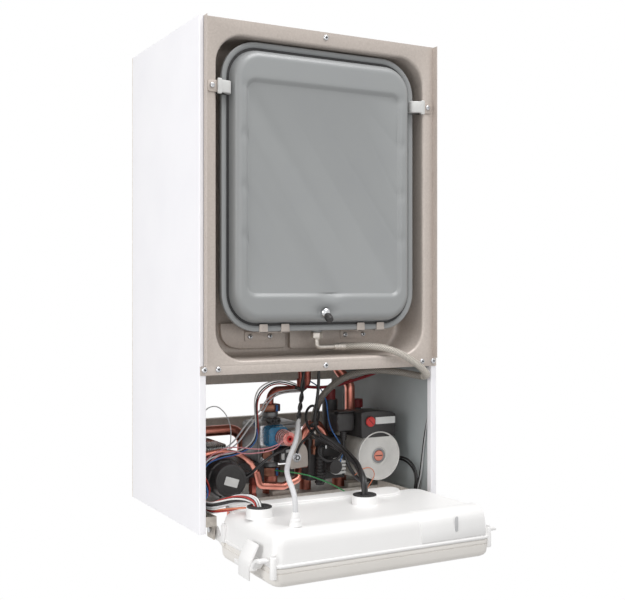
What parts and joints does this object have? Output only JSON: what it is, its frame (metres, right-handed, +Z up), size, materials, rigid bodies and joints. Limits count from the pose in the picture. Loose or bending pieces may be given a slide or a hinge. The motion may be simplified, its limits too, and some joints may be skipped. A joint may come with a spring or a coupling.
{
  "type": "combi boiler",
  "caption": "Wall-hung combi boiler with its front panel off: white side panels, flat expansion vessel, pump, gas valve and pipework, and a folded-down control box on cables.",
  "frame": {"origin": "midway between the two hanging slots, on the wall plane", "axes": "X to the right as seen from the front, Y towards the wall, Z up"},
  "size_m": [0.4, 0.468, 0.794],
  "materials": {
    "white_enamel": "powder coat",
    "galvanised": "galvanised sheet",
    "dark_sheet": "galvanised sheet",
    "vessel_grey": "satin paint",
    "diaphragm_rubber": "matte",
    "copper": "copper tube",
    "brass_part": "machined",
    "zinc_screw": "zinc plated",
    "stainless": "pressed",
    "cast_alloy": "die cast",
    "cast_iron_part": "cast",
    "motor_silver": "satin",
    "fibre_board": "ceramic fibre",
    "black_plastic": "matte",
    "blue_plastic": "satin",
    "white_plastic": "semi gloss",
    "grey_plastic": "matte",
    "red_plastic": "semi gloss",
    "dark_red_plastic": "matte",
    "board_green": "coated",
    "black_rubber": "matte",
    "grey_cable": "smooth sheath"
  },
  "bodies": {
    "casing": {"side_panel_left": "white_enamel", "side_panel_right": "white_enamel", "rear_frame": "galvanised", "bottom_frame": "galvanised", "chamber_box": "dark_sheet", "chamber_cover": "galvanised", "cover_screws": "zinc_screw", "vessel_front_shell": "vessel_grey", "vessel_rear_shell": "vessel_grey", "vessel_diaphragm": "diaphragm_rubber", "vessel_valve_cap": "black_plastic", "vessel_brackets": "galvanised", "strap_clips": "black_plastic", "expansion_hose": "black_rubber", "combustion_chamber": "dark_sheet", "chamber_insulation": "fibre_board", "burner": "stainless", "heat_exchanger": "copper", "flue_hood": "stainless", "fan_housing": "stainless", "flue_collar": "galvanised", "pressure_switch": "black_plastic", "gas_valve_body": "cast_alloy", "gas_solenoid": "blue_plastic", "gas_coil": "copper", "gas_nuts": "brass_part", "gas_pipe": "copper", "bracket_plate": "galvanised", "pipe_tails": "copper", "flow_block": "brass_part", "plate_exchanger": "stainless", "diverter_actuator": "black_plastic", "pump_volute": "cast_iron_part", "pump_motor": "motor_silver", "pump_terminal_box": "black_plastic", "pump_plug": "black_plastic", "return_block": "black_plastic", "air_vent": "black_plastic", "air_vent_cap": "dark_red_plastic", "heating_pipes": "copper", "small_pipes": "copper", "hinge_pins": "zinc_screw", "left_harness": "black_rubber", "centre_harness": "black_rubber", "mains_lead": "grey_cable", "pump_lead": "black_rubber"},
    "fan_wheel": {"fan_impeller": "stainless"},
    "pump_wheel": {"pump_rotor": "stainless"},
    "diverter": {"diverter_stem": "brass_part"},
    "speed_knob": {"pump_speed_knob": "red_plastic"},
    "relief": {"relief_knob": "red_plastic"},
    "heating_dial": {"heating_knob": "grey_plastic"},
    "hot_water_dial": {"hot_water_knob": "grey_plastic"},
    "needle": {"gauge_needle": "black_plastic"},
    "control_box": {"control_box_base": "white_plastic", "control_box_cover": "white_plastic", "cable_entries": "black_rubber", "circuit_board": "board_green", "latch_clips": "white_plastic"}
  },
  "joints": [
    {"name": "control_box_hinge", "type": "hinge", "parent": "casing", "child": "control_box", "pos_m": [0, -0.27, -0.66], "axis": [-1, 0, 0], "range_deg": [0, 90], "deforming": ["left_harness", "centre_harness", "mains_lead"]},
    {"name": "fan_spin", "type": "hinge", "parent": "casing", "child": "fan_wheel", "pos_m": [0, -0.11, -0.048], "axis": [0, 1, 0], "continuous": true},
    {"name": "pump_spin", "type": "hinge", "parent": "casing", "child": "pump_wheel", "pos_m": [0.138, -0.15, -0.587], "axis": [0, 1, 0], "continuous": true},
    {"name": "diverter_slide", "type": "slide", "parent": "casing", "child": "diverter", "axis": [0, 1, 0], "range_m": [0, 0.006]},
    {"name": "speed_knob_turn", "type": "hinge", "parent": "casing", "child": "speed_knob", "pos_m": [0.12, -0.224, -0.531], "axis": [0, -1, 0], "range_deg": [-90, 90]},
    {"name": "relief_knob_turn", "type": "hinge", "parent": "casing", "child": "relief", "pos_m": [0.174, -0.092, -0.52], "axis": [0, 0, 1], "range_deg": [0, 90]},
    {"name": "heating_dial_turn", "type": "hinge", "parent": "control_box", "child": "heating_dial", "pos_m": [-0.06, -0.385, -0.695], "axis": [0, 0, -1], "range_deg": [0, 270]},
    {"name": "hot_water_dial_turn", "type": "hinge", "parent": "control_box", "child": "hot_water_dial", "pos_m": [0, -0.385, -0.695], "axis": [0, 0, -1], "range_deg": [0, 270]},
    {"name": "gauge_needle_turn", "type": "hinge", "parent": "control_box", "child": "needle", "pos_m": [0.075, -0.385, -0.697], "axis": [0, 0, -1], "range_deg": [-10, 240]}
  ]
}
